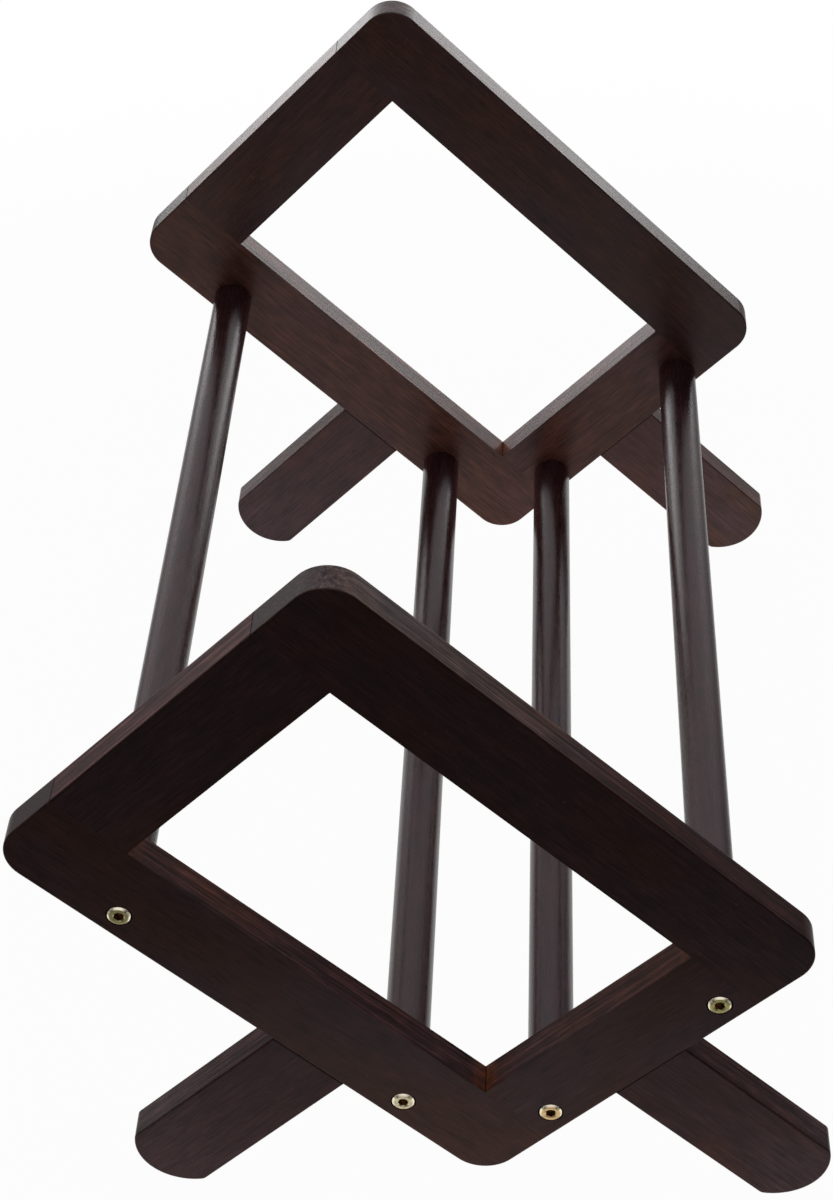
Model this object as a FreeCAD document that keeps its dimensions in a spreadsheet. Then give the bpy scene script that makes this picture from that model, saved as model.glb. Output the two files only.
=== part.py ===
"""Book stand: two tilted end frames held apart by four round rods.

Each end frame is a rectangle of two long and two short bars, turned onto one corner, with a leg on each of
its two lower edges. Places in a frame are given in the frame's own coordinates: x along the short side and z
along the long side, both from the bottom corner of the rectangle before it is tilted. y runs along the rods.
The stand's origin is on the floor, at the middle of its outline, with +Z up and the front frame at -Y.
"""
import FreeCAD
import Part
import Sketcher
import os

# Driving sizes in millimetres, and one angle in degrees.
SIZES = {
    # End frame
    "long_side": 275,
    "short_side": 199,
    "long_bar_width": 40,
    "short_bar_width": 39,
    "bar_thickness": 14.5,
    "corner_radius": 16,
    "edge_round": 0.8,
    # Legs
    "leg_width": 40,
    "leg_length": 102,
    "leg_end_rise": 10.7,
    "leg_corner_radius": 4,
    "left_leg_place": 104,
    # Rods, placed from the ends of the bars that carry them
    "rod_diameter": 20,
    "rod_length": 450,
    "rod_inset": 10.5,
    "long_rod_margin": 59,
    "short_rod_margin": 11,
    # Bolts with a bevelled, rounded head and a hexagon socket with a countersunk mouth
    "bolt_diameter": 6,
    "bolt_length": 32,
    "bolt_tip_bevel": 0.6,
    "head_diameter": 10,
    "head_height": 4,
    "head_stand": 0.8,
    "head_bevel": 1.2,
    "head_round": 0.7,
    "socket_width": 4,
    "socket_depth": 2.5,
    "socket_mouth_margin": 0.4,
    "bolt_turn_step": 17,
    # Threaded inserts in the rod ends
    "insert_diameter": 10,
    "insert_length": 18,
    # Dowels in the butt joints
    "dowel_diameter": 6,
    "dowel_length": 36,
    "leg_dowel_pitch": 14,
    # Clearances, each on the radius or at the bottom of a hole
    "bolt_clearance": 0.25,
    "head_clearance": 0.5,
    "thread_clearance": 0.1,
    "glue_clearance": 0.1,
    "hole_end_room": 1,
}

# Sizes and places that follow from the driving sizes.
PLACES = {
    "short_bar_length": "Sizes.short_side - 2 * Sizes.long_bar_width",
    "leg_straight": "Sizes.leg_length - Sizes.leg_end_rise",
    "leg_end_radius": "((Sizes.leg_width / 2) ^ 2 + Sizes.leg_end_rise ^ 2) / (2 * Sizes.leg_end_rise)",
    "leg_reach": "Sizes.leg_length - Places.leg_end_radius",
    "right_leg_place": "Sizes.short_side / 2",
    # The floor touches both leg ends, which have one radius, so it runs parallel to the line of their centres.
    "tilt": "atan2(Sizes.left_leg_place + Places.leg_reach; Places.right_leg_place + Places.leg_reach)",
    "left_leg_side": "Places.leg_reach * cos(Places.tilt) + Sizes.left_leg_place * sin(Places.tilt)"
                     " + Places.leg_end_radius",
    "left_corner_side": "(Sizes.long_side - Sizes.corner_radius) * sin(Places.tilt)"
                        " - Sizes.corner_radius * cos(Places.tilt) + Sizes.corner_radius",
    "right_leg_side": "Places.right_leg_place * cos(Places.tilt) + Places.leg_reach * sin(Places.tilt)"
                      " + Places.leg_end_radius",
    "right_corner_side": "(Sizes.short_side - Sizes.corner_radius) * cos(Places.tilt)"
                         " - Sizes.corner_radius * sin(Places.tilt) + Sizes.corner_radius",
    # Where the bottom corner of the untilted rectangle lands.
    "corner_x": "(max(Places.left_leg_side; Places.left_corner_side)"
                " - max(Places.right_leg_side; Places.right_corner_side)) / 2",
    "corner_z": "Places.leg_end_radius + Places.leg_reach * sin(Places.tilt)"
                " - Sizes.left_leg_place * cos(Places.tilt)",
    "front_frame_y": "-Sizes.rod_length / 2 - Sizes.bar_thickness",
    "front_rod_end_y": "-Sizes.rod_length / 2",
    "rear_rod_end_y": "Sizes.rod_length / 2",
    "head_sink": "Sizes.head_height - Sizes.head_stand",
    "rod_bore_depth": "max(Sizes.insert_length; Sizes.bolt_length + Places.head_sink - Sizes.bar_thickness)"
                      " + Sizes.hole_end_room",
    "bolt_hole_radius": "Sizes.bolt_diameter / 2 + Sizes.bolt_clearance",
    "socket_corner": "Sizes.socket_width / sqrt(3)",
    # The socket's mouth is a cone of 120 degrees that reaches past the hexagon's corners.
    "mouth_radius": "Places.socket_corner + Sizes.socket_mouth_margin",
    "mouth_depth": "Places.mouth_radius / sqrt(3)",
    # Width of a short bar between the bolt holes and the window, where the corner dowels go.
    "dowel_zone_start": "Sizes.rod_inset + Places.bolt_hole_radius",
    "dowel_zone": "Sizes.short_bar_width - Places.dowel_zone_start",
    "dowel_hole_radius": "Sizes.dowel_diameter / 2 + Sizes.glue_clearance",
    "dowel_hole_depth": "Sizes.dowel_length / 2 + Sizes.hole_end_room",
}

# Each rod's axis, in frame coordinates.
ROD_PLACES = {
    "left_lower_rod": ("Sizes.rod_inset", "Sizes.long_rod_margin"),
    "left_upper_rod": ("Sizes.rod_inset", "Sizes.long_side - Sizes.long_rod_margin"),
    "right_lower_rod": ("Sizes.long_bar_width + Sizes.short_rod_margin", "Sizes.rod_inset"),
    "right_upper_rod": ("Sizes.short_side - Sizes.long_bar_width - Sizes.short_rod_margin", "Sizes.rod_inset"),
}
DOWELS_PER_JOINT = 2
SOCKET_SIDES = 6
FULL_TURN = 360

X_AXIS = FreeCAD.Vector(1, 0, 0)
Y_AXIS = FreeCAD.Vector(0, 1, 0)
Z_AXIS = FreeCAD.Vector(0, 0, 1)
NO_TURN = FreeCAD.Rotation()
# Turns that point a cylinder, which rises along z, another way.
POINTING = {
    "+x": FreeCAD.Rotation(Y_AXIS, 90),
    "-x": FreeCAD.Rotation(Y_AXIS, -90),
    "+y": FreeCAD.Rotation(X_AXIS, -90),
    "-y": FreeCAD.Rotation(X_AXIS, 90),
    "+z": NO_TURN,
    "-z": FreeCAD.Rotation(X_AXIS, 180),
}
# Distance within which a point counts as lying on a plane.
NEAR = 1e-4

doc = FreeCAD.newDocument("BookStand")


def fill_sheet(name, cells, prefix=""):
    """Make a sheet with one named cell a row."""
    sheet = doc.addObject("Spreadsheet::Sheet", name)
    for row, alias in enumerate(cells, start=1):
        sheet.set(f"A{row}", alias)
        sheet.setAlias(f"B{row}", alias)
        sheet.set(f"B{row}", prefix + str(cells[alias]))
    doc.recompute()
    return sheet


fill_sheet("Sizes", SIZES)
fill_sheet("Places", PLACES, prefix="=")


def number(name):
    """The value of a cell named as Sheet.alias, to draw a sketch near its final shape."""
    sheet, alias = name.split(".")
    return float(getattr(doc.getObject(sheet), alias))


def bind(thing, expressions):
    """Tie properties of an object to the sheets."""
    for path, expression in expressions.items():
        thing.setExpression(path, expression)


# Placing pieces in an end frame

def seat(piece, x, y, z, turn=None, rotation=NO_TURN):
    """Put a piece at a place in the frame's coordinates.

    A piece with a turn follows the tilt of the frame, after that many degrees about +Y. Any other piece, such
    as a rod, keeps the given rotation.
    """
    if turn is not None:
        rotation = POINTING["+x"]
    piece.Placement = FreeCAD.Placement(FreeCAD.Vector(), rotation)
    bind(piece, {
        "Placement.Base.x": f"Places.corner_x + ({x}) * cos(Places.tilt) - ({z}) * sin(Places.tilt)",
        "Placement.Base.y": y,
        "Placement.Base.z": f"Places.corner_z + ({x}) * sin(Places.tilt) + ({z}) * cos(Places.tilt)",
    })
    if turn is not None:
        piece.setExpression("Placement.Rotation.Angle", f"{turn} deg - Places.tilt")


# Drawing and cutting

def new_body(name):
    body = doc.addObject("PartDesign::Body", name)
    body.Label = name
    return body


def new_sketch(body, name, role):
    """A sketch on one of the body's own origin planes."""
    sketch = body.newObject("Sketcher::SketchObject", name)
    plane = next(feature for feature in body.Origin.OriginFeatures if feature.Role == role)
    sketch.AttachmentSupport = [(plane, "")]
    sketch.MapMode = "FlatFace"
    return sketch


def constrain(sketch, expression, kind, *elements):
    """Add a dimension and tie it to the sheets."""
    sketch.addConstraint(Sketcher.Constraint(kind, *elements))
    sketch.setExpression(f"Constraints[{sketch.ConstraintCount - 1}]", expression)


def draw_outline(sketch, points):
    """Draw a closed outline of straight sides, and hold its level and upright sides so."""
    count = len(points)
    for side, (start, end) in enumerate(zip(points, points[1:] + points[:1])):
        sketch.addGeometry(Part.LineSegment(FreeCAD.Vector(*start), FreeCAD.Vector(*end)))
        if start[0] == end[0]:
            sketch.addConstraint(Sketcher.Constraint("Vertical", side))
        elif start[1] == end[1]:
            sketch.addConstraint(Sketcher.Constraint("Horizontal", side))
    for side in range(count):
        sketch.addConstraint(Sketcher.Constraint("Coincident", side, 2, (side + 1) % count, 1))


def pad_thickness(body, sketch):
    """Raise a sketch of the frame's plane through the bar thickness, towards +Y."""
    pad = body.newObject("PartDesign::Pad", body.Name + "_pad")
    pad.Profile = sketch
    pad.Reversed = True
    pad.setExpression("Length", "Sizes.bar_thickness")
    doc.recompute()
    return pad


def round_edges(body, base, name, radius, wanted):
    """Round each edge of a feature that the test picks out."""
    edges = base.Shape.Edges
    chosen = [f"Edge{place}" for place, edge in enumerate(edges, start=1) if wanted(edge)]
    fillet = body.newObject("PartDesign::Fillet", name)
    fillet.Base = (base, chosen)
    fillet.setExpression("Radius", radius)
    doc.recompute()
    return fillet


def crosses_thickness(edge):
    """True for an edge that runs from face to face of a bar."""
    return edge.BoundBox.YLength > NEAR


def bar_blank(name, width, length):
    """A plain bar with one corner at the local origin, its width along x and its length along z."""
    body = new_body(name)
    sketch = new_sketch(body, name + "_outline", "XZ_Plane")
    across, along = number(width), number(length)
    draw_outline(sketch, [(0, 0), (across, 0), (across, along), (0, along)])
    sketch.addConstraint(Sketcher.Constraint("Coincident", 0, 1, -1, 1))
    constrain(sketch, width, "Distance", 0, across)
    constrain(sketch, length, "Distance", 1, along)
    return body, pad_thickness(body, sketch)


def drill(body, name, place, pointing, radius, depth):
    """Cut a round hole that starts at a place in the body's own coordinates."""
    before = body.Shape.Volume
    hole = body.newObject("PartDesign::SubtractiveCylinder", f"{body.Name}_{name}")
    hole.Placement = FreeCAD.Placement(FreeCAD.Vector(), POINTING[pointing])
    x, y, z = place
    bind(hole, {
        "Placement.Base.x": x,
        "Placement.Base.y": y,
        "Placement.Base.z": z,
        "Radius": radius,
        "Height": depth,
    })
    doc.recompute()
    if body.Shape.Volume > before - NEAR:
        raise RuntimeError(f"{hole.Name} cuts nothing")


def drill_dowel(body, name, x, z, pointing):
    """A dowel hole in the middle of the thickness."""
    place = (x, "Sizes.bar_thickness / 2", z)
    drill(body, name, place, pointing, "Places.dowel_hole_radius", "Places.dowel_hole_depth")


def drill_bolt(body, name, x, z, outer_face):
    """A through hole with a counterbore for the head, from the frame's outer face."""
    face, pointing = outer_face
    place = (x, face, z)
    head_radius = "Sizes.head_diameter / 2 + Sizes.head_clearance"
    drill(body, name + "_hole", place, pointing, "Places.bolt_hole_radius", "Sizes.bar_thickness")
    drill(body, name + "_counterbore", place, pointing, head_radius, "Places.head_sink")


def corner_dowel_places():
    """Distances of a joint's dowels from the outer edge of the short bar, evenly shared out in their zone."""
    shares = [(step + 0.5) / DOWELS_PER_JOINT for step in range(DOWELS_PER_JOINT)]
    return [f"Places.dowel_zone_start + {share} * Places.dowel_zone" for share in shares]


def leg_dowel_places(middle):
    """Places of a leg's two dowels along the edge that carries it."""
    return [f"{middle} {sign} Sizes.leg_dowel_pitch / 2" for sign in "-+"]


# Wooden pieces of an end frame

def long_bar(name):
    """A bar that runs the full length, with both corners of its outer side (x = 0) rounded."""
    body, pad = bar_blank(name, "Sizes.long_bar_width", "Sizes.long_side")
    corners = round_edges(body, pad, name + "_corners", "Sizes.corner_radius",
                          lambda edge: crosses_thickness(edge) and edge.BoundBox.XMax < NEAR)
    inner_side = number("Sizes.long_bar_width")
    round_edges(body, corners, name + "_edges", "Sizes.edge_round",
                lambda edge: not crosses_thickness(edge) and edge.CenterOfMass.x < inner_side - NEAR)
    for step, place in enumerate(corner_dowel_places()):
        for end, z in (("low", place), ("high", f"Sizes.long_side - ({place})")):
            drill_dowel(body, f"{end}_dowel_{step}", "Sizes.long_bar_width", z, "-x")
    return body


def short_bar(name):
    """A bar between the long bars, with its outer side at z = 0."""
    body, pad = bar_blank(name, "Places.short_bar_length", "Sizes.short_bar_width")
    round_edges(body, pad, name + "_edges", "Sizes.edge_round",
                lambda edge: not crosses_thickness(edge) and edge.BoundBox.ZMax < NEAR)
    for step, place in enumerate(corner_dowel_places()):
        drill_dowel(body, f"left_dowel_{step}", "0", place, "+x")
        drill_dowel(body, f"right_dowel_{step}", "Places.short_bar_length", place, "-x")
    return body


def leg(name):
    """A leg that hangs from z = 0, centred on x = 0, and ends in an arc."""
    body = new_body(name)
    half = number("Sizes.leg_width") / 2
    straight = number("Places.leg_straight")
    top_left = FreeCAD.Vector(-half, 0)
    top_right = FreeCAD.Vector(half, 0)
    low_right = FreeCAD.Vector(half, -straight)
    low_left = FreeCAD.Vector(-half, -straight)
    tip = FreeCAD.Vector(0, -number("Sizes.leg_length"))
    sketch = new_sketch(body, name + "_outline", "XZ_Plane")
    sketch.addGeometry(Part.LineSegment(top_left, top_right))
    sketch.addGeometry(Part.LineSegment(top_right, low_right))
    arc = sketch.addGeometry(Part.Arc(low_right, tip, low_left))
    sketch.addGeometry(Part.LineSegment(low_left, top_left))
    # The arc runs counterclockwise, from its left end to its right end.
    for first, second in (((0, 2), (1, 1)), ((1, 2), (arc, 2)), ((arc, 1), (3, 1)), ((3, 2), (0, 1))):
        sketch.addConstraint(Sketcher.Constraint("Coincident", *first, *second))
    sketch.addConstraint(Sketcher.Constraint("Vertical", 1))
    sketch.addConstraint(Sketcher.Constraint("Vertical", 3))
    sketch.addConstraint(Sketcher.Constraint("Symmetric", 0, 1, 0, 2, -1, 1))
    sketch.addConstraint(Sketcher.Constraint("Equal", 1, 3))
    sketch.addConstraint(Sketcher.Constraint("Horizontal", 0))
    constrain(sketch, "Sizes.leg_width", "Distance", 0, number("Sizes.leg_width"))
    constrain(sketch, "Places.leg_straight", "Distance", 1, straight)
    constrain(sketch, "Places.leg_end_radius", "Radius", arc, number("Places.leg_end_radius"))
    pad = pad_thickness(body, sketch)
    corners = round_edges(body, pad, name + "_corners", "Sizes.leg_corner_radius",
                          lambda edge: crosses_thickness(edge) and edge.CenterOfMass.z < -NEAR)
    round_edges(body, corners, name + "_edges", "Sizes.edge_round",
                lambda edge: not crosses_thickness(edge) and edge.CenterOfMass.z < -NEAR)
    for step, x in enumerate(leg_dowel_places("0")):
        drill_dowel(body, f"dowel_{step}", x, "0", "-z")
    return body


def end_frame(side, frame_y, outer_face):
    """The four bars and two legs of one end frame."""
    lower_long = long_bar(side + "_lower_long_bar")
    upper_long = long_bar(side + "_upper_long_bar")
    lower_short = short_bar(side + "_lower_short_bar")
    upper_short = short_bar(side + "_upper_short_bar")
    left_leg = leg(side + "_left_leg")
    right_leg = leg(side + "_right_leg")

    for step, place in enumerate(leg_dowel_places("Sizes.left_leg_place")):
        drill_dowel(lower_long, f"leg_dowel_{step}", "0", place, "+x")
    for step, place in enumerate(leg_dowel_places("Places.right_leg_place")):
        drill_dowel(lower_short, f"leg_dowel_{step}", f"{place} - Sizes.long_bar_width", "0", "+z")
    for rod, (x, z) in ROD_PLACES.items():
        if rod.startswith("left"):
            drill_bolt(lower_long, rod, x, z, outer_face)
        else:
            drill_bolt(lower_short, rod, f"{x} - Sizes.long_bar_width", z, outer_face)

    seat(lower_long, "0", frame_y, "0", turn=0)
    seat(upper_long, "Sizes.short_side", frame_y, "Sizes.long_side", turn=180)
    seat(lower_short, "Sizes.long_bar_width", frame_y, "0", turn=0)
    seat(upper_short, "Sizes.short_side - Sizes.long_bar_width", frame_y, "Sizes.long_side", turn=180)
    seat(left_leg, "0", frame_y, "Sizes.left_leg_place", turn=90)
    seat(right_leg, "Places.right_leg_place", frame_y, "0", turn=0)
    return [lower_long, upper_long, lower_short, upper_short, left_leg, right_leg]


# Rods and hardware

def round_bar(body, name, radius, length, pointing):
    bar = body.newObject("PartDesign::AdditiveCylinder", f"{body.Name}_{name}")
    bar.Placement = FreeCAD.Placement(FreeCAD.Vector(), POINTING[pointing])
    bind(bar, {"Radius": radius, "Height": length})
    doc.recompute()


def rod(name):
    """A rod along +Y from one frame to the other, bored at both ends for the inserts."""
    body = new_body(name)
    round_bar(body, "round", "Sizes.rod_diameter / 2", "Sizes.rod_length", "+y")
    bore_radius = "Sizes.insert_diameter / 2 + Sizes.glue_clearance"
    drill(body, "front_bore", ("0", "0", "0"), "+y", bore_radius, "Places.rod_bore_depth")
    drill(body, "rear_bore", ("0", "Sizes.rod_length", "0"), "-y", bore_radius, "Places.rod_bore_depth")
    seat(body, ROD_PLACES[name][0], "Places.front_rod_end_y", ROD_PLACES[name][1])
    return body


def threaded_insert(name):
    """A sleeve that rises along z from its mouth, with the thread drawn as a plain bore."""
    body = new_body(name)
    round_bar(body, "sleeve", "Sizes.insert_diameter / 2", "Sizes.insert_length", "+z")
    drill(body, "thread", ("0", "0", "0"), "+z", "Sizes.bolt_diameter / 2 + Sizes.thread_clearance",
          "Sizes.insert_length")
    return body


def bolt(name):
    """A bolt along z, with its head's seat at z = 0 and its shank below."""
    body = new_body(name)
    shank = number("Sizes.bolt_diameter") / 2
    length = number("Sizes.bolt_length")
    tip_bevel = number("Sizes.bolt_tip_bevel")
    head = number("Sizes.head_diameter") / 2
    height = number("Sizes.head_height")
    stand = number("Sizes.head_stand")
    bevel = number("Sizes.head_bevel")
    mouth = number("Places.mouth_radius")
    mouth_depth = number("Places.mouth_depth")
    sketch = new_sketch(body, name + "_profile", "XZ_Plane")
    draw_outline(sketch, [(0, -length), (shank - tip_bevel, -length), (shank, tip_bevel - length), (shank, 0),
                          (head, 0), (head, height - stand), (head - bevel, height), (mouth, height),
                          (0, height - mouth_depth)])
    sketch.addConstraint(Sketcher.Constraint("PointOnObject", 0, 1, -2))
    sketch.addConstraint(Sketcher.Constraint("PointOnObject", 3, 1, -1))
    constrain(sketch, "Sizes.bolt_diameter / 2 - Sizes.bolt_tip_bevel", "Distance", 0, shank - tip_bevel)
    constrain(sketch, "Sizes.bolt_tip_bevel", "DistanceX", 1, 1, 1, 2, tip_bevel)
    constrain(sketch, "Sizes.bolt_tip_bevel", "DistanceY", 1, 1, 1, 2, tip_bevel)
    constrain(sketch, "Sizes.bolt_length - Sizes.bolt_tip_bevel", "Distance", 2, length - tip_bevel)
    constrain(sketch, "(Sizes.head_diameter - Sizes.bolt_diameter) / 2", "Distance", 3, head - shank)
    constrain(sketch, "Places.head_sink", "Distance", 4, height - stand)
    constrain(sketch, "Sizes.head_stand", "DistanceY", 5, 1, 5, 2, stand)
    constrain(sketch, "Sizes.head_bevel", "DistanceX", 5, 2, 5, 1, bevel)
    constrain(sketch, "Places.mouth_radius", "DistanceX", 7, 2, 7, 1, mouth)
    constrain(sketch, "Places.mouth_depth", "DistanceY", 7, 2, 7, 1, mouth_depth)
    turned = body.newObject("PartDesign::Revolution", name + "_turned")
    turned.Profile = sketch
    turned.ReferenceAxis = (sketch, ["V_Axis"])
    turned.Angle = FULL_TURN
    doc.recompute()

    def on_shoulder(edge):
        """True for the two round edges of the head's bevel."""
        box = edge.BoundBox
        return edge.isClosed() and box.ZMin > height - stand - NEAR and box.XLength / 2 > mouth + NEAR

    round_edges(body, turned, name + "_shoulder", "Sizes.head_round", on_shoulder)
    cut_socket(body, name)
    return body


def cut_socket(body, name):
    """The hexagon socket in the top of a bolt's head, drawn inside a guide circle."""
    corner = number("Places.socket_corner")
    socket = new_sketch(body, name + "_socket", "XY_Plane")
    socket.setExpression("AttachmentOffset.Base.z", "Sizes.head_height")
    turns = [FreeCAD.Rotation(Z_AXIS, FULL_TURN * side / SOCKET_SIDES) for side in range(SOCKET_SIDES)]
    draw_outline(socket, [tuple(turn.multVec(X_AXIS * corner))[:2] for turn in turns])
    circle = socket.addGeometry(Part.Circle(FreeCAD.Vector(), Z_AXIS, corner), True)
    socket.addConstraint(Sketcher.Constraint("Coincident", circle, 3, -1, 1))
    socket.addConstraint(Sketcher.Constraint("PointOnObject", 0, 1, -1))
    for side in range(SOCKET_SIDES):
        socket.addConstraint(Sketcher.Constraint("PointOnObject", side, 1, circle))
    for side in range(1, SOCKET_SIDES):
        socket.addConstraint(Sketcher.Constraint("Equal", 0, side))
    constrain(socket, "Places.socket_corner", "Radius", circle, corner)
    pocket = body.newObject("PartDesign::Pocket", name + "_hexagon")
    pocket.Profile = socket
    pocket.setExpression("Length", "Sizes.socket_depth")
    before = body.Shape.Volume
    doc.recompute()
    if body.Shape.Volume > before - NEAR:
        raise RuntimeError(f"{pocket.Name} cuts nothing")


def dowel(name, x, y, z, turn):
    """A dowel that starts at a place of the frame and rises along the frame's z, or its x after a turn."""
    pin = doc.addObject("Part::Cylinder", name)
    bind(pin, {"Radius": "Sizes.dowel_diameter / 2", "Height": "Sizes.dowel_length"})
    seat(pin, x, y, z, turn=turn)
    return pin


def group(name, pieces):
    """Equal pieces that share one node, each a solid of its own."""
    together = doc.addObject("Part::Compound", name)
    together.Label = name
    together.Links = pieces
    return together


def bolt_group(side, seat_y, heads_to):
    bolts = []
    for index, (x, z) in enumerate(ROD_PLACES.values()):
        piece = bolt(f"{side}_bolt_{index}")
        turn = FreeCAD.Rotation(Z_AXIS, index * number("Sizes.bolt_turn_step"))
        seat(piece, x, seat_y, z, rotation=POINTING[heads_to] * turn)
        bolts.append(piece)
    return group(side + "_bolts", bolts)


def insert_group(side, mouth_y, inward):
    inserts = []
    for index, (x, z) in enumerate(ROD_PLACES.values()):
        piece = threaded_insert(f"{side}_insert_{index}")
        seat(piece, x, mouth_y, z, rotation=POINTING[inward])
        inserts.append(piece)
    return group(side + "_rod_inserts", inserts)


def dowel_groups(side, frame_y):
    """The dowels across the corner joints, and those into the legs."""
    middle_y = f"{frame_y} + Sizes.bar_thickness / 2"
    joints = ("Sizes.long_bar_width", "Sizes.short_side - Sizes.long_bar_width")
    corner = []
    for place in corner_dowel_places():
        for z in (place, f"Sizes.long_side - ({place})"):
            for joint in joints:
                name = f"{side}_corner_dowel_{len(corner)}"
                corner.append(dowel(name, f"{joint} - Sizes.dowel_length / 2", middle_y, z, 90))
    half_out = "-Sizes.dowel_length / 2"
    legs = []
    for z in leg_dowel_places("Sizes.left_leg_place"):
        legs.append(dowel(f"{side}_leg_dowel_{len(legs)}", half_out, middle_y, z, 90))
    for x in leg_dowel_places("Places.right_leg_place"):
        legs.append(dowel(f"{side}_leg_dowel_{len(legs)}", x, middle_y, half_out, 0))
    return [group(side + "_corner_dowels", corner), group(side + "_leg_dowels", legs)]


# The stand

front_outer_face = ("0", "+y")
rear_outer_face = ("Sizes.bar_thickness", "-y")
nodes = end_frame("front", "Places.front_frame_y", front_outer_face)
nodes += end_frame("rear", "Places.rear_rod_end_y", rear_outer_face)
nodes += [rod(name) for name in ROD_PLACES]
nodes.append(bolt_group("front", "Places.front_frame_y + Places.head_sink", "-y"))
nodes.append(bolt_group("rear", "Places.rear_rod_end_y + Sizes.bar_thickness - Places.head_sink", "+y"))
nodes.append(insert_group("front", "Places.front_rod_end_y", "+y"))
nodes.append(insert_group("rear", "Places.rear_rod_end_y", "-y"))
nodes += dowel_groups("front", "Places.front_frame_y")
nodes += dowel_groups("rear", "Places.rear_rod_end_y")
doc.recompute()

failed = [thing.Name for thing in doc.Objects if "Invalid" in thing.State or "Error" in thing.State]
failed += [node.Label for node in nodes if node.Shape.isNull() or not node.Shape.isValid()]
if failed:
    raise RuntimeError("failed: " + ", ".join(failed))

os.makedirs("parts", exist_ok=True)
for node in nodes:
    node.Shape.exportStep(f"parts/{node.Label}.step")
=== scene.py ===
"""Book stand in dark-stained wood: two tilted end frames, four round rods and plated bolts."""

import math

import bmesh
import bpy
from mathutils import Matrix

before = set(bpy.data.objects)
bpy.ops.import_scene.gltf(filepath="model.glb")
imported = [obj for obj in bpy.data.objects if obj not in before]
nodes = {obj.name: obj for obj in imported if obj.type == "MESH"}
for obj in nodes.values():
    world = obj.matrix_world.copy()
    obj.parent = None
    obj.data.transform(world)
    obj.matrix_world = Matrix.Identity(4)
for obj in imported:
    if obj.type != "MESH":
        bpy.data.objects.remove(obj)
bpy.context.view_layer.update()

# Sizes of the stand, in metres. A frame's own x and z run along its sides from its bottom corner.
LONG_SIDE = 0.275
SHORT_SIDE = 0.199
LONG_BAR_WIDTH = 0.040
SHORT_BAR_WIDTH = 0.039
FRAME_CORNER = (0.0204624, 0, 0.0072396)
FRAME_TILT = math.radians(45.71732)
TILT_SINE, TILT_COSINE = math.sin(FRAME_TILT), math.cos(FRAME_TILT)
ROD_PLACES = ((0.0105, 0.059), (0.0105, 0.216), (0.051, 0.0105), (0.148, 0.0105))
BOLT_TOP = 0.2403


class Nodes:
    """A node tree that is put together node by node. Sockets take values, colours or other nodes' outputs."""

    def __init__(self, tree):
        self.tree = tree
        tree.nodes.clear()

    def node(self, kind, sockets=None, **settings):
        made = self.tree.nodes.new("ShaderNode" + kind)
        for name, value in settings.items():
            setattr(made, name, value)
        for name, value in (sockets or {}).items():
            socket = made.inputs[name]
            if isinstance(value, bpy.types.NodeSocket):
                self.tree.links.new(value, socket)
            elif socket.type == "RGBA":
                socket.default_value = (*value, 1)
            else:
                socket.default_value = value
        return made

    def math(self, operation, first, second=0.0):
        return self.node("Math", {0: first, 1: second}, operation=operation).outputs[0]

    def plus(self, first, second):
        return self.math("ADD", first, second)

    def minus(self, first, second):
        return self.math("SUBTRACT", first, second)

    def times(self, first, second):
        return self.math("MULTIPLY", first, second)

    def larger(self, first, second):
        return self.math("MAXIMUM", first, second)

    def absolute(self, value):
        return self.math("ABSOLUTE", value)

    def span(self, value, low, high, start=0.0, end=1.0):
        """Map low to high onto start to end, smoothly, and hold the ends."""
        sockets = {"Value": value, "From Min": low, "From Max": high, "To Min": start, "To Max": end}
        return self.node("MapRange", sockets, interpolation_type="SMOOTHSTEP").outputs["Result"]

    def split(self, vector):
        return self.node("SeparateXYZ", {"Vector": vector}).outputs

    def join(self, x, y, z):
        return self.node("CombineXYZ", {"X": x, "Y": y, "Z": z}).outputs[0]

    def scaled(self, colour, amount):
        return self.node("VectorMath", {0: colour, "Scale": amount}, operation="SCALE").outputs["Vector"]

    def measure(self, operation, first, second=(0, 0, 0)):
        """One number from two vectors, or from the first alone."""
        return self.node("VectorMath", {0: first, 1: second}, operation=operation).outputs["Value"]


class Finish(Nodes):
    """A material on Object coordinates."""

    def __init__(self, name):
        self.material = bpy.data.materials.new(name)
        self.material.use_nodes = True
        super().__init__(self.material.node_tree)
        self.where = self.node("TexCoord").outputs["Object"]

    def noise(self, place, scale, stretch=(1, 1, 1), detail=3.0, roughness=0.55):
        """Noise on a place, drawn out along an axis where its stretch is small."""
        drawn = self.node("Mapping", {"Vector": place, "Scale": stretch}).outputs[0]
        sockets = {"Vector": drawn, "Scale": scale, "Detail": detail, "Roughness": roughness}
        return self.node("TexNoise", sockets).outputs["Fac"]

    def ramp(self, value, stops):
        """Colours at places from 0 to 1."""
        made = self.node("ValToRGB", {"Fac": value})
        band = made.color_ramp.elements
        for _ in stops[2:]:
            band.new(0.5)
        for element, (place, colour) in zip(band, stops):
            element.position = place
            element.color = (*colour, 1)
        return made.outputs["Color"]

    def mix(self, amount, below, above):
        """One colour over another. The Mix node keeps its colours in its sockets 6 and 7."""
        return self.node("Mix", {"Factor": amount, 6: below, 7: above}, data_type="RGBA").outputs[2]

    def bump(self, height, strength, distance):
        sockets = {"Height": height, "Strength": strength, "Distance": distance}
        return self.node("Bump", sockets).outputs[0]

    def finish(self, **sockets):
        named = {name.replace("_", " "): value for name, value in sockets.items()}
        surface = self.node("BsdfPrincipled", named)
        self.node("OutputMaterial", {"Surface": surface.outputs[0]})
        return self.material


def shade(colour, amount):
    return tuple(channel * amount for channel in colour)


def in_stand(x, z):
    """A place in a frame's own x and z, as the stand's x and z."""
    corner_x, _, corner_z = FRAME_CORNER
    return corner_x + x * TILT_COSINE - z * TILT_SINE, corner_z + x * TILT_SINE + z * TILT_COSINE


# Stained wood

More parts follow.
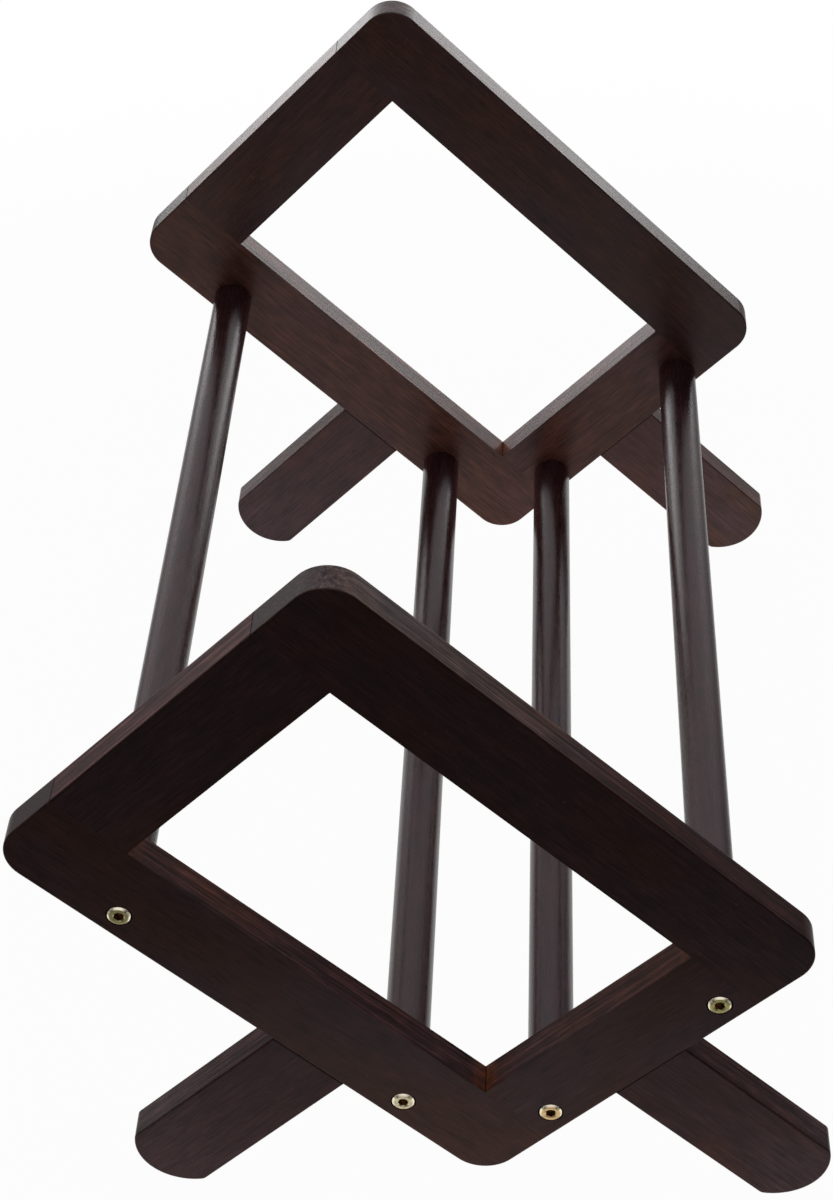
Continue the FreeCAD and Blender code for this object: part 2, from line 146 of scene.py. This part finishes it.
STAIN_COOL = (0.077, 0.0325, 0.0335)
STAIN_WARM = (0.084, 0.03, 0.0205)
ROD_STAIN_COOL = (0.052, 0.0165, 0.0235)
ROD_STAIN_WARM = (0.056, 0.019, 0.02)
BARE_WOOD = (0.26, 0.125, 0.075)
BARE_CORNER = (0.34, 0.12, 0.05)
# End grain: its own colour, made paler and greyer with a painted sheen.
END_GRAIN_AND_SHEEN = (0.112, 0.08, 0.075)
GLUE_LINE = (0.003, 0.002, 0.002)

# How much paler worn wood is in red, green and blue; the grey ones are also a painted sheen, on edges and
# feet.
GREY_WEAR_AND_SHEEN = (1.0, 2.4, 2.7)
BROWN_WEAR = (0.8, 0.8, 0.7)
FOOT_WEAR_AND_SHEEN = (0.15, 0.4, 0.45)

# The wood's noises, with the grain along the third axis.
FIBRE = {"scale": 1250, "stretch": (1, 1, 0.055), "detail": 4, "roughness": 0.7}
STREAK = {"scale": 620, "stretch": (1, 1, 0.018), "detail": 3, "roughness": 0.6}
BLOTCH = {"scale": 140, "stretch": (1, 1, 0.5)}
CAST = {"scale": 26, "stretch": (1, 1, 0.45), "detail": 2}
PORE = {"scale": 2300, "stretch": (1, 1, 0.06), "detail": 1}
END_PORE = {"scale": 1900, "detail": 2}
RUBBED_PATCH = {"scale": 140}
NICK = {"scale": 620, "detail": 0}
BARE_PATCH = {"scale": 260}
ROD_RIPPLE = {"scale": 130, "stretch": (1, 1, 0.1), "detail": 2}

# Each noise's share of the tone, how far apart the pieces lie in the noise, and how high the grain stands.
FIBRE_SHARE, STREAK_SHARE, BLOTCH_SHARE = 0.55, 0.17, 0.28
GRAIN_STEP = (0.31, 0.17, 0.73)
GRAIN_LIFT = 0.00015

# Where a noise turns from one look to the next, and how strong the second look is.
CAST_COOL, CAST_WARM = 0.38, 0.64
PORE_NONE, PORE_FULL = 0.66, 0.74
PORE_STRENGTH, PORE_SHADE = 0.45, 0.25
RUBBED_LOW, RUBBED_HIGH = 0.45, 0.68
RUBBED_LEAST, RUBBED_MOST = 0.1, 0.45
NICK_NONE, NICK_FULL = 0.86, 0.885
NICK_STRENGTH = 0.5
BARE_LOW, BARE_HIGH = 0.35, 0.65
BARE_LEAST, BARE_STRENGTH = 0.25, 0.6
END_PORES = [(0.35, shade(END_GRAIN_AND_SHEEN, 0.6)), (0.62, END_GRAIN_AND_SHEEN)]

# How squarely a surface faces the front of the stand, or the end of the grain.
EDGE_FULL, EDGE_NONE = 0.2, 0.6
ARRIS_NONE, ARRIS_FULL = 0.08, 0.25
END_NONE, END_FULL = 0.75, 0.97

# The edges of a bar or a leg show more of the grain than its faces.
EDGE_CONTRAST = 1.6
EDGE_STREAKS = 0.5
FACE_RIDGES, EDGE_RIDGES = 0.25, 0.5

# Where wear and painted sheen begin and end: up a bar, darkening its low end, and down to a leg's foot.
BAR_WEAR_AND_SHEEN_FROM, BAR_WEAR_AND_SHEEN_TO = 0.09, 0.27
LOW_END_DARKENING = -0.2
LEG_WEAR_AND_SHEEN_FROM, LEG_WEAR_AND_SHEEN_TO = -0.03, -0.1

# How far bare wood reaches from the window's corners, and how wide a glue line is.
BARE_FULL, BARE_NONE = 0.002, 0.0095
GLUE_FULL, GLUE_NONE = 0.0003, 0.0009
GLUE_ON_EDGE = 0.9

# Roughness at its least, and what the grain adds.
SATIN_ROUGH, SATIN_GRAIN = 0.2, 0.2
ROD_ROUGH, ROD_GRAIN = 0.12, 0.3

ROD_CONTRAST = 2.4
ROD_GLOSS = 0.42
ROD_RIPPLE_HEIGHT, ROD_LIFT_STRENGTH = 2.0, 0.42


class Wood(Finish):
    """Stained wood, with its grain along the third axis of the place it is given."""

    def set_grain(self, lined, place):
        """Set out the grain, each piece in its own part of the noise. Its tone is about 0.5 on average."""
        self.grain = self.node("VectorMath", {0: lined, 1: shade(GRAIN_STEP, place)}).outputs[0]
        self.fibre = self.noise(self.grain, **FIBRE)
        self.streak = self.noise(self.grain, **STREAK)
        blotch = self.noise(self.grain, **BLOTCH)
        fine = self.plus(self.times(self.fibre, FIBRE_SHARE), self.times(self.streak, STREAK_SHARE))
        self.tone = self.plus(fine, self.times(blotch, BLOTCH_SHARE))

    def stain(self, contrast, cool, warm, warmth=0.0):
        """Stain that lies darker and paler with the grain, in slow clouds of a warmer and a cooler cast."""
        cast = self.noise(self.grain, **CAST)
        warmed = self.span(cast, CAST_COOL - warmth, CAST_WARM - warmth)
        paler = self.math("POWER", self.times(self.tone, 2.0), contrast)
        colour = self.scaled(self.mix(warmed, cool, warm), paler)
        pore = self.span(self.noise(self.grain, **PORE), PORE_NONE, PORE_FULL, end=PORE_STRENGTH)
        self.colour = self.mix(pore, colour, shade(cool, PORE_SHADE))


class FrameWood(Wood):
    """Satin stained wood for a bar or a leg, with its grain along the frame's own x or z."""

    def __init__(self, name, along, place):
        super().__init__(name)
        turned = {"Vector": self.where, "Location": FRAME_CORNER, "Rotation": (0, -FRAME_TILT, 0)}
        self.x, y, self.z = self.split(self.node("Mapping", turned, vector_type="TEXTURE").outputs[0])
        across, self.length = (self.x, self.z) if along == "z" else (self.z, self.x)
        self.grain_axis = (-TILT_SINE, 0, TILT_COSINE) if along == "z" else (TILT_COSINE, 0, TILT_SINE)
        self.normal = self.node("NewGeometry").outputs["Normal"]
        self.facing_front = self.absolute(self.split(self.normal)["Y"])
        self.on_edge = self.span(self.facing_front, EDGE_FULL, EDGE_NONE, start=1, end=0)
        self.set_grain(self.join(across, y, self.length), place)
        streaks = self.times(self.minus(self.streak, 0.5), self.times(self.on_edge, EDGE_STREAKS))
        self.tone = self.plus(self.tone, streaks)
        self.rough = self.plus(self.times(self.fibre, SATIN_GRAIN), SATIN_ROUGH)

    def pale(self, wear_and_sheen, wear_and_sheen_amount):
        """Thin the stain where the wood is worn, and paint a sheen where the wear colour is grey."""
        paled = self.scaled(wear_and_sheen, wear_and_sheen_amount)
        sockets = {0: self.colour, 1: paled, 2: self.colour}
        self.colour = self.node("VectorMath", sockets, operation="MULTIPLY_ADD").outputs["Vector"]

    def wear_and_sheen_edges(self, wear_and_sheen):
        # Edges paler up the frame, darker at its low end: wear, and painted sheen where the colour is grey.
        height = self.span(self.z, BAR_WEAR_AND_SHEEN_FROM, BAR_WEAR_AND_SHEEN_TO, start=LOW_END_DARKENING)
        self.pale(wear_and_sheen, self.times(self.on_edge, height))

    def wear_and_sheen_foot(self, wear_and_sheen):
        # Paler and greyer towards the foot: wear, and a painted sheen.
        self.pale(wear_and_sheen, self.span(self.length, LEG_WEAR_AND_SHEEN_TO, LEG_WEAR_AND_SHEEN_FROM, start=1, end=0))

    def show_end_grain_and_sheen(self):
        # End grain: its own pores, with a painted sheen in its pale grey colour.
        facing_end = self.measure("DOT_PRODUCT", self.normal, self.grain_axis)
        end = self.span(self.absolute(facing_end), END_NONE, END_FULL)
        pores = self.noise(self.grain, **END_PORE)
        self.colour = self.mix(end, self.colour, self.ramp(pores, END_PORES))

    def rub_arrises(self):
        """Rub the stain off the arrises in patches, and knock a few nicks into the faces."""
        squared = self.times(self.facing_front, self.facing_front)
        arris = self.times(squared, self.minus(1.0, squared))
        patches = self.noise(self.grain, **RUBBED_PATCH)
        patch = self.span(patches, RUBBED_LOW, RUBBED_HIGH, start=RUBBED_LEAST, end=RUBBED_MOST)
        rubbed = self.times(self.span(arris, ARRIS_NONE, ARRIS_FULL), patch)
        self.colour = self.mix(rubbed, self.colour, BARE_WOOD)
        nick = self.span(self.noise(self.grain, **NICK), NICK_NONE, NICK_FULL, end=NICK_STRENGTH)
        self.colour = self.mix(nick, self.colour, BARE_WOOD)

    def bare_window_corners(self):
        """Leave bare wood where the stain missed the inner corners of the window."""
        from_middle_x = self.absolute(self.minus(self.x, SHORT_SIDE / 2))
        from_middle_z = self.absolute(self.minus(self.z, LONG_SIDE / 2))
        off_x = self.absolute(self.minus(from_middle_x, SHORT_SIDE / 2 - LONG_BAR_WIDTH))
        off_z = self.absolute(self.minus(from_middle_z, LONG_SIDE / 2 - SHORT_BAR_WIDTH))
        near = self.span(self.larger(off_x, off_z), BARE_FULL, BARE_NONE, start=1, end=0)
        patch = self.span(self.noise(self.grain, **BARE_PATCH), BARE_LOW, BARE_HIGH, start=BARE_LEAST)
        bare = self.times(self.times(near, self.on_edge), patch)
        self.colour = self.mix(self.times(bare, BARE_STRENGTH), self.colour, BARE_CORNER)

    def glue(self, distances, on_face):
        """Dark matt glue lines across the piece, plain on its edges and fainter on its faces."""
        shown = self.span(self.on_edge, 0, 1, start=on_face, end=GLUE_ON_EDGE)
        for distance in distances:
            off = self.absolute(self.minus(self.length, distance))
            dark = self.times(self.span(off, GLUE_FULL, GLUE_NONE, start=1, end=0), shown)
            self.colour = self.mix(dark, self.colour, GLUE_LINE)
            self.rough = self.larger(self.rough, dark)

    def lacquer(self, sheen):
        ridges = self.plus(self.times(self.on_edge, EDGE_RIDGES), FACE_RIDGES)
        lift = self.bump(self.streak, ridges, GRAIN_LIFT)
        return self.finish(
            Base_Color=self.colour, Roughness=self.rough, Specular_IOR_Level=sheen, Normal=lift)


# How much lacquer shines on the front bars, the front legs and the whole rear frame.
FRONT_BAR_SHEEN, FRONT_LEG_SHEEN, REAR_SHEEN = 0.095, 0.075, 0.21

# How strongly the grain shows: the rear frame's lower bars have the boldest.
PLAIN_FIGURE, BOLD_FIGURE = 2.0, 2.7

# Each kind of piece: the axis that its grain follows, its glue lines along that axis, and how plainly they
# show on its faces.
TIMBER = {
    "long_bar": ("z", (), 0.0),
    "short_bar": ("x", (LONG_BAR_WIDTH, SHORT_SIDE - LONG_BAR_WIDTH), 0.12),
    "left_leg": ("x", (0.0,), 0.5),
    "right_leg": ("z", (0.0,), 0.15),
}

# Each piece: how pale its stain is, with 1 as it was mixed and painted light added, how far its cast leans
# warm, and its wear.
# Painted light in the paleness: the rear frame's lower bars and right leg paler as if lit, the upper bars
# darker as if shaded.
STAINED = {
    "front_lower_long_bar": (0.96, 0.0, None),
    "front_upper_long_bar": (0.8, 0.0, GREY_WEAR_AND_SHEEN),
    "front_lower_short_bar": (0.94, 0.02, None),
    "front_upper_short_bar": (0.87, 0.0, BROWN_WEAR),
    "front_left_leg": (0.97, -0.15, FOOT_WEAR_AND_SHEEN),
    "front_right_leg": (1.0, -0.1, FOOT_WEAR_AND_SHEEN),
    "rear_lower_long_bar": (1.3, 0.14, None),
    "rear_upper_long_bar": (0.74, 0.05, GREY_WEAR_AND_SHEEN),
    "rear_lower_short_bar": (1.3, 0.12, None),
    "rear_upper_short_bar": (0.85, 0.0, BROWN_WEAR),
    "rear_left_leg": (0.98, -0.1, FOOT_WEAR_AND_SHEEN),
    "rear_right_leg": (1.3, 0.05, FOOT_WEAR_AND_SHEEN),
}


def stained_timber(piece, place):
    """The finish of one bar or leg."""
    paleness_and_painted_light, warmth, wear_and_sheen = STAINED[piece]
    kind = next(name for name in TIMBER if piece.endswith(name))
    along, glue_lines, on_face = TIMBER[kind]
    leg = kind.endswith("leg")

    wood = FrameWood("wood_" + piece, along, place)
    figure = BOLD_FIGURE if piece.startswith("rear_lower") else PLAIN_FIGURE
    contrast = wood.plus(wood.times(wood.on_edge, EDGE_CONTRAST), figure)
    wood.stain(contrast, shade(STAIN_COOL, paleness_and_painted_light), shade(STAIN_WARM, paleness_and_painted_light), warmth)
    if leg:
        wood.wear_and_sheen_foot(wear_and_sheen)
    elif wear_and_sheen:
        wood.wear_and_sheen_edges(wear_and_sheen)
    wood.show_end_grain_and_sheen()
    wood.rub_arrises()
    if not leg:
        wood.bare_window_corners()
    if glue_lines:
        wood.glue(glue_lines, on_face)

    if piece.startswith("rear"):
        return wood.lacquer(REAR_SHEEN)
    return wood.lacquer(FRONT_LEG_SHEEN if leg else FRONT_BAR_SHEEN)


def stained_rod(piece, place):
    """Glossier stained wood for a rod, with its grain along y."""
    wood = Wood("wood_" + piece)
    x, y, z = wood.split(wood.where)
    wood.set_grain(wood.join(x, z, y), place)
    wood.stain(ROD_CONTRAST, ROD_STAIN_COOL, ROD_STAIN_WARM)
    rough = wood.plus(wood.times(wood.tone, ROD_GRAIN), ROD_ROUGH)
    ripple = wood.times(wood.noise(wood.grain, **ROD_RIPPLE), ROD_RIPPLE_HEIGHT)
    lift = wood.bump(wood.plus(ripple, wood.fibre), ROD_LIFT_STRENGTH, GRAIN_LIFT)
    return wood.finish(Base_Color=wood.colour, Roughness=rough, Specular_IOR_Level=ROD_GLOSS, Normal=lift)


# Metal and hidden pieces

# The plating's cast on the four bolts of a frame, from left to right.
PLATING = [
    (0.0, (0.44, 0.39, 0.19)),
    (0.45, (0.68, 0.6, 0.4)),
    (0.7, (0.84, 0.55, 0.27)),
    (1.0, (0.36, 0.33, 0.13)),
]
PLATING_LEFT, PLATING_RIGHT = -0.14, 0.13
GRIME_AND_PAINTED_REFLECTION = (0.2, 0.18, 0.08)
PAINTED_RIM_HIGHLIGHT = (0.97, 0.91, 0.7)
PAINTED_SOCKET_SHADE = (0.17, 0.1, 0.045)

# Radii on a bolt's head where one finish gives way to the next, and depths below its top for the painted
# shade in the socket.
TOP_FULL, TOP_NONE = 0.0034, 0.004
RIM_NONE, RIM_FULL = 0.0039, 0.0044
SOCKET_FULL, SOCKET_NONE = 0.0023, 0.0027
SOCKET_DARK_DEPTH, SOCKET_MOUTH_DEPTH = 0.0016, 0.0004

GRIME_SCALE = 900
GRIME_LOW, GRIME_HIGH = 0.3, 0.7
GRIME_AND_REFLECTION_STRENGTH = 0.6
BOLT_ROUGH, GRIME_ROUGH = 0.16, 0.2

# Tool marks: how fast they follow each other, in radians over a metre of radius, and how high they stand.
TOOL_MARK_PACE = 21000.0
TOOL_MARK_HEIGHT = 0.3
TOOL_MARK_STRENGTH, TOOL_MARK_LIFT = 0.2, 0.00004

BRASS = [(0.35, (0.5, 0.36, 0.14)), (0.65, (0.74, 0.58, 0.28))]
RAW_WOOD = [(0.35, (0.42, 0.27, 0.14)), (0.65, (0.66, 0.48, 0.3))]


def plated_bolt(name):
    """Yellow plating on turned steel, with tool marks: a painted rim highlight, grime and a painted dark
    reflection on top, and painted socket shade.
    """
    metal = Finish(name)
    x, y, z = metal.split(metal.where)
    flat = metal.join(x, 0.0, z)
    radius = 1.0
    for rod_x, rod_z in ROD_PLACES:
        bolt_x, bolt_z = in_stand(rod_x, rod_z)
        radius = metal.math("MINIMUM", metal.measure("DISTANCE", flat, (bolt_x, 0, bolt_z)), radius)

    grime = metal.noise(metal.where, GRIME_SCALE)
    on_top = metal.span(radius, TOP_FULL, TOP_NONE, start=1, end=0)
    grime_and_reflection = metal.times(on_top, metal.span(grime, GRIME_LOW, GRIME_HIGH))
    rim = metal.span(radius, RIM_NONE, RIM_FULL)
    # Painted shade deep in the socket, fading out towards its mouth.
    dark, mouth = BOLT_TOP - SOCKET_DARK_DEPTH, BOLT_TOP - SOCKET_MOUTH_DEPTH
    sunk = metal.span(metal.absolute(y), dark, mouth, start=1, end=0)
    inside = metal.span(radius, SOCKET_FULL, SOCKET_NONE, start=1, end=0)

    colour = metal.ramp(metal.span(x, PLATING_LEFT, PLATING_RIGHT), PLATING)
    # The top: patchy grime, with a painted dark reflection.
    colour = metal.mix(metal.times(grime_and_reflection, GRIME_AND_REFLECTION_STRENGTH), colour, GRIME_AND_PAINTED_REFLECTION)
    # Painted highlight: the shoulder's rim is near white.
    colour = metal.mix(rim, colour, PAINTED_RIM_HIGHLIGHT)
    colour = metal.mix(metal.times(sunk, inside), colour, PAINTED_SOCKET_SHADE)
    rough = metal.plus(metal.times(grime_and_reflection, GRIME_ROUGH), BOLT_ROUGH)
    marks = metal.math("SINE", metal.times(radius, TOOL_MARK_PACE))
    height = metal.plus(metal.times(marks, TOOL_MARK_HEIGHT), grime)
    worked = metal.times(metal.minus(1.0, rim), TOOL_MARK_STRENGTH)
    lift = metal.bump(height, worked, TOOL_MARK_LIFT)
    return metal.finish(Base_Color=colour, Metallic=1.0, Roughness=rough, Normal=lift)


def brass_insert(name):
    metal = Finish(name)
    cut = metal.noise(metal.where, 900, stretch=(1, 6, 1), detail=2)
    colour = metal.ramp(cut, BRASS)
    rough = metal.plus(metal.times(cut, 0.2), 0.2)
    lift = metal.bump(cut, 0.3, 0.00008)
    return metal.finish(Base_Color=colour, Metallic=1.0, Roughness=rough, Normal=lift)


def raw_dowel(name):
    wood = Finish(name)
    fleck = wood.noise(wood.where, 800, detail=4)
    colour = wood.ramp(fleck, RAW_WOOD)
    lift = wood.bump(fleck, 0.4, 0.0001)
    return wood.finish(Base_Color=colour, Roughness=wood.plus(fleck, 0.2), Normal=lift)


def dress(piece, material):
    """Give a piece one finish all over."""
    slots = nodes[piece].data.materials
    slots.clear()
    slots.append(material)


for place, piece in enumerate(STAINED, start=1):
    dress(piece, stained_timber(piece, place))

RODS = ("left_lower_rod", "left_upper_rod", "right_lower_rod", "right_upper_rod")
for place, piece in enumerate(RODS, start=20):
    dress(piece, stained_rod(piece, place))

bolt_finish = plated_bolt("yellow_plated_bolt")
insert_finish = brass_insert("turned_brass_insert")
dowel_finish = raw_dowel("raw_dowel_wood")
for side in ("front", "rear"):
    dress(side + "_bolts", bolt_finish)
    dress(side + "_rod_inserts", insert_finish)
    dress(side + "_corner_dowels", dowel_finish)
    dress(side + "_leg_dowels", dowel_finish)


# Floor, light and camera

FLOOR_RADIUS = 1.7
FLOOR_PAINT = (0.4, 0.4, 0.4)
SHADOW_RADIUS, WHITE_RADIUS = 0.4, 1.0
FLOOR_WHITENESS = 0.97
MIRRORED_FLOOR = 0.25

# Directions from the stand, and how near to them the room turns from dark to white.
WHITE_WALL = (-0.07, 0.96, 0.27)
WALL_NONE, WALL_FULL = 0.52, 0.85
PALE_WINDOW = (0, -0.69, 0.72)
WINDOW_NONE, WINDOW_FULL = 0.5, 0.95
WINDOW_STRENGTH = 0.8

# The overhead band's limits along two axes, from dark to pale.
OVERHEAD_BAND = (("Y", -0.3, -0.15), ("Y", 0.45, 0.3), ("Z", 0.15, 0.4))

# The light that is left where the room is dark, and the cast of all its light.
ROOM_FILL = 0.015
ROOM_TINT = (1.0, 0.955, 0.985)
WHITE = (1, 1, 1)

# Each lamp: its place, how it is turned in degrees, its width and height, and its power in watts.
LAMPS = {
    "light_table": ((-0.05, 0.12, 0.0005), (180, 0, 0), (0.6, 0.95), 1.1),
    "overhead_softbox": ((-0.1, 0.3, 1.3), (0, 0, 0), (1.0, 1.0), 0.7),
    "trough_softbox": ((0.0, -0.18, 0.62), (45, 0, 0), (0.9, 0.2), 0.22),
    "back_strip": ((-0.05, 1.9, 0.25), (-90, 0, 0), (2.4, 0.7), 13.5),
    "front_strip": ((0.0, -1.25, 0.52), (68, 0, 0), (2.2, 0.16), 0.22),
    "left_strip": ((-1.25, -0.55, 0.35), (79, 0, -74), (1.4, 0.45), 0.5),
    "right_strip": ((1.25, -0.55, 0.35), (79, 0, 74), (1.4, 0.45), 0.22),
}

CAMERA_PLACE = (0.03391, -0.94602, 0.89776)
CAMERA_TURN = (51.2809, 0.8638, 2.4291)
CAMERA_LENS, CAMERA_SENSOR = 75.83, 36


def add_to_scene(name, data):
    """Add an object to the scene."""
    made = bpy.data.objects.new(name, data)
    bpy.context.scene.collection.objects.link(made)
    return made


def radians(degrees):
    return [math.radians(angle) for angle in degrees]


def lay_floor():
    """A pale disc that keeps a faint shadow and turns white towards its rim."""
    disc = bmesh.new()
    bmesh.ops.create_circle(disc, cap_ends=True, segments=96, radius=FLOOR_RADIUS)
    mesh = bpy.data.meshes.new("studio_floor")
    disc.to_mesh(mesh)
    disc.free()
    floor = add_to_scene("studio_floor", mesh)

    paint = Finish("white_floor")
    out = paint.measure("LENGTH", paint.where)
    whiteness = paint.span(out, SHADOW_RADIUS, WHITE_RADIUS, start=FLOOR_WHITENESS)
    path = paint.node("LightPath").outputs
    mirrored = paint.larger(path["Is Glossy Ray"], path["Is Transmission Ray"])
    seen = paint.larger(path["Is Camera Ray"], paint.times(mirrored, MIRRORED_FLOOR))
    matt = paint.node("BsdfDiffuse", {"Color": FLOOR_PAINT}).outputs[0]
    white = paint.node("Emission", {"Color": WHITE, "Strength": 1.0}).outputs[0]
    both = paint.node("MixShader", {0: paint.times(whiteness, seen), 1: matt, 2: white}).outputs[0]
    paint.node("OutputMaterial", {"Surface": both})
    mesh.materials.append(paint.material)


def light_room():
    """A room that is seen as plain white, and lights the stand from the white wall behind it.

    The lacquer and the bolts also mirror a pale band that runs overhead from side to side, and a window high
    in front.
    """
    world = bpy.data.worlds.new("white_room")
    bpy.context.scene.world = world
    world.use_nodes = True
    room = Nodes(world.node_tree)
    path = room.node("LightPath").outputs
    look = room.node("TexCoord").outputs["Generated"]

    towards_wall = room.measure("DOT_PRODUCT", look, WHITE_WALL)
    wall = room.span(towards_wall, WALL_NONE, WALL_FULL, start=ROOM_FILL)
    split = room.split(look)
    overhead = 1.0
    for axis, dark, pale in OVERHEAD_BAND:
        overhead = room.times(room.span(split[axis], dark, pale), overhead)
    towards_window = room.measure("DOT_PRODUCT", look, PALE_WINDOW)
    window = room.span(towards_window, WINDOW_NONE, WINDOW_FULL, end=WINDOW_STRENGTH)
    mirrored = room.larger(room.larger(wall, overhead), window)

    # The Mix node keeps its numbers in its sockets 2 and 3, and its colours in 6 and 7.
    seen = room.larger(path["Is Camera Ray"], path["Is Transmission Ray"])
    unseen = room.node("Mix", {0: path["Is Glossy Ray"], 2: wall, 3: mirrored}).outputs[0]
    strength = room.node("Mix", {0: seen, 2: unseen, 3: 1.0}).outputs[0]
    tint = room.node("Mix", {0: seen, 6: ROOM_TINT, 7: WHITE}, data_type="RGBA").outputs[2]
    glow = room.node("Background", {"Color": tint, "Strength": strength}).outputs[0]
    room.node("OutputWorld", {"Surface": glow})


def place_softbox(name, place, turn, size, power):
    """A flat lamp that shines along its own -z and isn't seen itself."""
    lamp = bpy.data.lights.new(name, "AREA")
    lamp.shape = "RECTANGLE"
    lamp.size, lamp.size_y = size
    lamp.energy = power
    holder = add_to_scene(name, lamp)
    holder.location = place
    holder.rotation_euler = radians(turn)
    holder.visible_camera = False


def set_camera():
    lens = bpy.data.cameras.new("photo_camera")
    lens.sensor_width = CAMERA_SENSOR
    lens.lens = CAMERA_LENS
    camera = add_to_scene("photo_camera", lens)
    camera.location = CAMERA_PLACE
    camera.rotation_euler = radians(CAMERA_TURN)
    bpy.context.scene.camera = camera


lay_floor()
light_room()
for name, (place, turn, size, power) in LAMPS.items():
    place_softbox(name, place, turn, size, power)
set_camera()
bpy.context.scene.view_settings.view_transform = "Standard"
